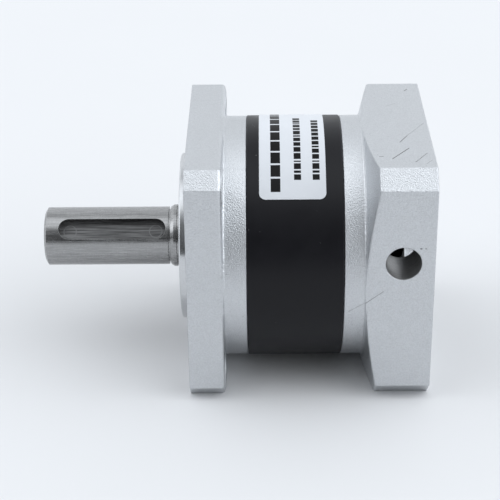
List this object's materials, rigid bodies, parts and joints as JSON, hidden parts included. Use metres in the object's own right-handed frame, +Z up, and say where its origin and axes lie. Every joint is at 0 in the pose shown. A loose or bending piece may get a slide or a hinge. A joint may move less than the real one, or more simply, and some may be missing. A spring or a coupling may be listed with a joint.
{
  "type": "planetary gearbox",
  "caption": "Inline planetary reducer with a keyed output shaft, square flanges at both ends and a clamp hub for a stepper motor's shaft.",
  "frame": {"origin": "centre of the output flange's mounting face, on the gearbox axis", "axes": "+X along the gearbox axis from the output to the motor, +Z up and square to the flanges' top sides"},
  "size_m": [0.091, 0.058, 0.058],
  "materials": {
    "cast_aluminium": "fine blasted",
    "black_ring": "matt black oxide",
    "shaft_steel": "turned and ground",
    "gear_steel": "machined",
    "hub_steel": "blackened",
    "bearing_steel": "polished",
    "spring_steel": "phosphated",
    "black_steel": "black oxide",
    "cage_polymer": "moulded",
    "rubber": "matt",
    "label": "satin"
  },
  "bodies": {
    "housing": {"output_housing": "cast_aluminium", "ring_gear": "black_ring", "input_housing": "cast_aluminium", "housing_screws": "black_steel", "front_o_ring": "rubber", "rear_o_ring": "rubber", "label": "label", "shaft_seal_case": "spring_steel", "shaft_seal_lip": "rubber", "shaft_seal_spring": "spring_steel", "bearing_retaining_ring": "spring_steel", "input_retaining_ring": "spring_steel", "front_bearing_outer_ring": "bearing_steel", "front_bearing_shields": "spring_steel", "rear_bearing_outer_ring": "bearing_steel", "rear_bearing_shields": "spring_steel", "input_bearing_outer_ring": "bearing_steel", "input_bearing_shields": "spring_steel"},
    "carrier": {"output_shaft": "shaft_steel", "carrier_plate": "gear_steel", "carrier_screws": "black_steel", "planet_pins": "bearing_steel", "planet_washers": "bearing_steel", "shaft_retaining_ring": "spring_steel", "front_bearing_inner_ring": "bearing_steel", "rear_bearing_inner_ring": "bearing_steel"},
    "sun": {"sun_gear": "gear_steel", "input_hub": "hub_steel", "clamp_screw": "black_steel", "hub_retaining_ring": "spring_steel", "input_bearing_inner_ring": "bearing_steel"},
    "front_balls": {"front_bearing_balls": "bearing_steel", "front_bearing_cage": "cage_polymer"},
    "rear_balls": {"rear_bearing_balls": "bearing_steel", "rear_bearing_cage": "cage_polymer"},
    "input_balls": {"input_bearing_balls": "bearing_steel", "input_bearing_cage": "cage_polymer"},
    "planet_1": {"planet_gear_1": "gear_steel"},
    "needles_1": {"planet_needles_1": "bearing_steel"},
    "planet_2": {"planet_gear_2": "gear_steel"},
    "needles_2": {"planet_needles_2": "bearing_steel"},
    "planet_3": {"planet_gear_3": "gear_steel"},
    "needles_3": {"planet_needles_3": "bearing_steel"}
  },
  "joints": [
    {"name": "output_spin", "type": "hinge", "parent": "housing", "child": "carrier", "pos_m": [0, 0, 0], "axis": [1, 0, 0], "continuous": true},
    {"name": "input_spin", "type": "hinge", "parent": "housing", "child": "sun", "pos_m": [0.0426, 0, 0], "axis": [1, 0, 0], "continuous": true},
    {"name": "front_balls_spin", "type": "hinge", "parent": "housing", "child": "front_balls", "pos_m": [0.0064, 0, 0], "axis": [1, 0, 0], "continuous": true},
    {"name": "rear_balls_spin", "type": "hinge", "parent": "housing", "child": "rear_balls", "pos_m": [0.0142, 0, 0], "axis": [1, 0, 0], "continuous": true},
    {"name": "input_balls_spin", "type": "hinge", "parent": "housing", "child": "input_balls", "pos_m": [0.0381, 0, 0], "axis": [1, 0, 0], "continuous": true},
    {"name": "planet_1_spin", "type": "hinge", "parent": "carrier", "child": "planet_1", "pos_m": [0.0263, 0, 0.012], "axis": [1, 0, 0], "continuous": true},
    {"name": "needles_1_spin", "type": "hinge", "parent": "carrier", "child": "needles_1", "pos_m": [0.0263, 0, 0.012], "axis": [1, 0, 0], "continuous": true},
    {"name": "planet_2_spin", "type": "hinge", "parent": "carrier", "child": "planet_2", "pos_m": [0.0263, -0.01039, -0.006], "axis": [1, 0, 0], "continuous": true},
    {"name": "needles_2_spin", "type": "hinge", "parent": "carrier", "child": "needles_2", "pos_m": [0.0263, -0.01039, -0.006], "axis": [1, 0, 0], "continuous": true},
    {"name": "planet_3_spin", "type": "hinge", "parent": "carrier", "child": "planet_3", "pos_m": [0.0263, 0.01039, -0.006], "axis": [1, 0, 0], "continuous": true},
    {"name": "needles_3_spin", "type": "hinge", "parent": "carrier", "child": "needles_3", "pos_m": [0.0263, 0.01039, -0.006], "axis": [1, 0, 0], "continuous": true}
  ],
  "couplings": [
    {"joint": "input_spin", "follows": "output_spin", "ratio": 10},
    {"joint": "front_balls_spin", "follows": "output_spin", "ratio": 0.41861},
    {"joint": "rear_balls_spin", "follows": "output_spin", "ratio": 0.43269},
    {"joint": "input_balls_spin", "follows": "output_spin", "ratio": 4.3846},
    {"joint": "planet_1_spin", "follows": "output_spin", "ratio": -2.25},
    {"joint": "needles_1_spin", "follows": "output_spin", "ratio": -1.3536},
    {"joint": "planet_2_spin", "follows": "output_spin", "ratio": -2.25},
    {"joint": "needles_2_spin", "follows": "output_spin", "ratio": -1.3536},
    {"joint": "planet_3_spin", "follows": "output_spin", "ratio": -2.25},
    {"joint": "needles_3_spin", "follows": "output_spin", "ratio": -1.3536}
  ]
}
